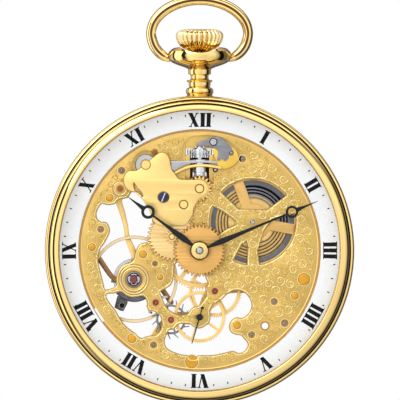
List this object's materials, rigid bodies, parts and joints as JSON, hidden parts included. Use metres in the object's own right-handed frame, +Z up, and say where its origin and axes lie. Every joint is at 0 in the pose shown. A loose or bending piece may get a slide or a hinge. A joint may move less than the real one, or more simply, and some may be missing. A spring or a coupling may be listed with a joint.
{
  "type": "pocket watch",
  "caption": "Open-face skeletonised pocket watch: glazed gold case, ring dial, pomme hands, visible train, balance and keyless winding work.",
  "frame": {"origin": "inside top of the bow, the point the watch hangs from, in the middle plane of the case", "axes": "+Z up through the bow and 12 o'clock, +Y out of the back, so the dial faces -Y; the hands turn about a line parallel to Y, 37.4 mm below the origin"},
  "size_m": [0.047, 0.0104, 0.0624],
  "materials": {
    "polished_gold": "mirror-polished yellow gold colour",
    "engraved_gold": "gilt, hand-engraved scrollwork",
    "satin_gold": "gilt, circular satin",
    "matte_hour_gold": "matt rose gilt",
    "steel": "polished",
    "grey_steel": "fine grained grey",
    "blued_steel": "heat blued, polished",
    "black_steel": "near-black polished",
    "white_enamel": "satin white enamel",
    "ruby": "polished jewel",
    "crystal_glass": "clear polished"
  },
  "bodies": {
    "case": {"back_bezel": "polished_gold", "back_crystal": "crystal_glass", "balance_cock": "engraved_gold", "balance_cock_screw": "blued_steel", "balance_setting": "steel", "barrel_bridge": "engraved_gold", "barrel_bridge_screw_1": "blued_steel", "barrel_bridge_screw_2": "blued_steel", "case_middle": "polished_gold", "chapter_ring": "white_enamel", "click_spring": "steel", "crown_wheel_screw": "steel", "escape_jewel": "ruby", "front_bezel": "polished_gold", "front_crystal": "crystal_glass", "hairspring": "blued_steel", "keyless_cover": "satin_gold", "keyless_cover_screw": "blued_steel", "mainplate": "engraved_gold", "pallet_bridge": "engraved_gold", "pendant": "polished_gold", "setting_lever_jumper": "satin_gold", "setting_lever_screw": "steel", "third_jewel": "ruby", "train_bridge": "engraved_gold", "train_bridge_screw": "blued_steel", "yoke_spring": "steel"},
    "bow": {"bow": "polished_gold"},
    "winding": {"winding_pinion": "steel"},
    "stem": {"winding_stem": "steel", "crown": "polished_gold"},
    "sliding": {"sliding_pinion": "steel"},
    "lever": {"setting_lever": "grey_steel"},
    "yoke": {"yoke": "steel"},
    "crown_wheel": {"crown_wheel": "satin_gold"},
    "ratchet": {"ratchet_wheel": "satin_gold", "ratchet_screw": "steel", "barrel_arbor": "steel"},
    "click": {"click": "steel"},
    "centre": {"centre_wheel": "satin_gold", "cannon_pinion": "steel", "minute_hand": "black_steel"},
    "barrel": {"barrel_drum": "satin_gold", "barrel_lid": "satin_gold", "mainspring": "grey_steel"},
    "third": {"third_wheel": "satin_gold"},
    "fourth": {"fourth_wheel": "satin_gold", "seconds_hand": "black_steel"},
    "escape": {"escape_wheel": "steel"},
    "minute": {"minute_wheel": "satin_gold"},
    "hour": {"hour_wheel": "matte_hour_gold", "hour_hand": "black_steel"},
    "intermediate": {"intermediate_wheel": "steel"},
    "setting": {"setting_wheel": "steel"},
    "fork": {"pallet_fork": "steel", "entry_pallet": "ruby", "exit_pallet": "ruby"},
    "balance": {"balance_wheel": "satin_gold", "balance_staff": "steel"},
    "regulator": {"regulator": "grey_steel"}
  },
  "joints": [
    {"name": "bow_swing", "type": "hinge", "parent": "case", "child": "bow", "pos_m": [0, 0, -0.00815], "axis": [1, 0, 0], "range_deg": [-85, 85]},
    {"name": "crown_turn", "type": "hinge", "parent": "case", "child": "winding", "pos_m": [0, 0, -0.0374], "axis": [0, 0, 1], "continuous": true},
    {"name": "crown_pull", "type": "slide", "parent": "winding", "child": "stem", "axis": [0, 0, 1], "range_m": [0, 0.001]},
    {"name": "sliding_pinion_slide", "type": "slide", "parent": "winding", "child": "sliding", "axis": [0, 0, 1], "range_m": [-0.0008, 0]},
    {"name": "setting_lever_swing", "type": "hinge", "parent": "case", "child": "lever", "pos_m": [0.0021, 0, -0.0209], "axis": [0, 1, 0], "range_deg": [0, 31]},
    {"name": "yoke_swing", "type": "hinge", "parent": "case", "child": "yoke", "pos_m": [-0.0082, 0, -0.02435], "axis": [0, 1, 0], "range_deg": [0, 5]},
    {"name": "crown_wheel_turn", "type": "hinge", "parent": "case", "child": "crown_wheel", "pos_m": [0, 0, -0.0266], "axis": [0, 1, 0], "continuous": true},
    {"name": "ratchet_turn", "type": "hinge", "parent": "case", "child": "ratchet", "pos_m": [0.00807, 0, -0.03308], "axis": [0, 1, 0], "continuous": true},
    {"name": "click_swing", "type": "hinge", "parent": "case", "child": "click", "pos_m": [0.0122, 0, -0.0259], "axis": [0, -1, 0], "range_deg": [0, 12], "stiffness_Nm_per_rad": 0.00024, "springref_deg": -11.46},
    {"name": "minute_turn", "type": "hinge", "parent": "case", "child": "centre", "pos_m": [0, 0, -0.0374], "axis": [0, 1, 0], "continuous": true},
    {"name": "barrel_turn", "type": "hinge", "parent": "case", "child": "barrel", "pos_m": [0.00807, 0, -0.03308], "axis": [0, 1, 0], "continuous": true},
    {"name": "third_turn", "type": "hinge", "parent": "case", "child": "third", "pos_m": [0.00233, 0, -0.04361], "axis": [0, 1, 0], "continuous": true},
    {"name": "fourth_turn", "type": "hinge", "parent": "case", "child": "fourth", "pos_m": [0, 0, -0.04754], "axis": [0, 1, 0], "continuous": true},
    {"name": "escape_turn", "type": "hinge", "parent": "case", "child": "escape", "pos_m": [-0.00436, 0, -0.04797], "axis": [0, 1, 0], "continuous": true},
    {"name": "minute_wheel_turn", "type": "hinge", "parent": "case", "child": "minute", "pos_m": [-0.0042, 0, -0.0353], "axis": [0, 1, 0], "continuous": true},
    {"name": "hour_turn", "type": "hinge", "parent": "case", "child": "hour", "pos_m": [0, 0, -0.0374], "axis": [0, 1, 0], "continuous": true},
    {"name": "intermediate_turn", "type": "hinge", "parent": "case", "child": "intermediate", "pos_m": [-0.00243, 0, -0.03042], "axis": [0, 1, 0], "continuous": true},
    {"name": "setting_turn", "type": "hinge", "parent": "case", "child": "setting", "pos_m": [0, 0, -0.028], "axis": [0, 1, 0], "continuous": true},
    {"name": "fork_swing", "type": "hinge", "parent": "case", "child": "fork", "pos_m": [-0.00669, 0, -0.04533], "axis": [0, 1, 0], "range_deg": [-5.5, 5.5]},
    {"name": "balance_swing", "type": "hinge", "parent": "case", "child": "balance", "pos_m": [-0.01, 0, -0.04182], "axis": [0, 1, 0], "range_deg": [-270, 270], "stiffness_Nm_per_rad": 0.0000013},
    {"name": "regulator_swing", "type": "hinge", "parent": "case", "child": "regulator", "pos_m": [-0.01, 0, -0.04182], "axis": [0, 1, 0], "range_deg": [-12, 12]}
  ],
  "couplings": [
    {"joint": "sliding_pinion_slide", "follows": "crown_pull", "ratio": -0.7},
    {"joint": "setting_lever_swing", "follows": "crown_pull", "rad_per_m": 537.56},
    {"joint": "yoke_swing", "follows": "crown_pull", "rad_per_m": 85.159},
    {"joint": "crown_wheel_turn", "follows": "crown_turn", "ratio": -0.44444},
    {"joint": "ratchet_turn", "follows": "crown_turn", "ratio": 0.30769},
    {"joint": "barrel_turn", "follows": "minute_turn", "ratio": -0.15385},
    {"joint": "third_turn", "follows": "minute_turn", "ratio": -8},
    {"joint": "fourth_turn", "follows": "minute_turn", "ratio": 60},
    {"joint": "escape_turn", "follows": "minute_turn", "ratio": -600},
    {"joint": "minute_wheel_turn", "follows": "minute_turn", "ratio": -0.33333},
    {"joint": "hour_turn", "follows": "minute_turn", "ratio": 0.083333},
    {"joint": "intermediate_turn", "follows": "minute_turn", "ratio": 0.70588},
    {"joint": "setting_turn", "follows": "minute_turn", "ratio": -0.66667}
  ]
}
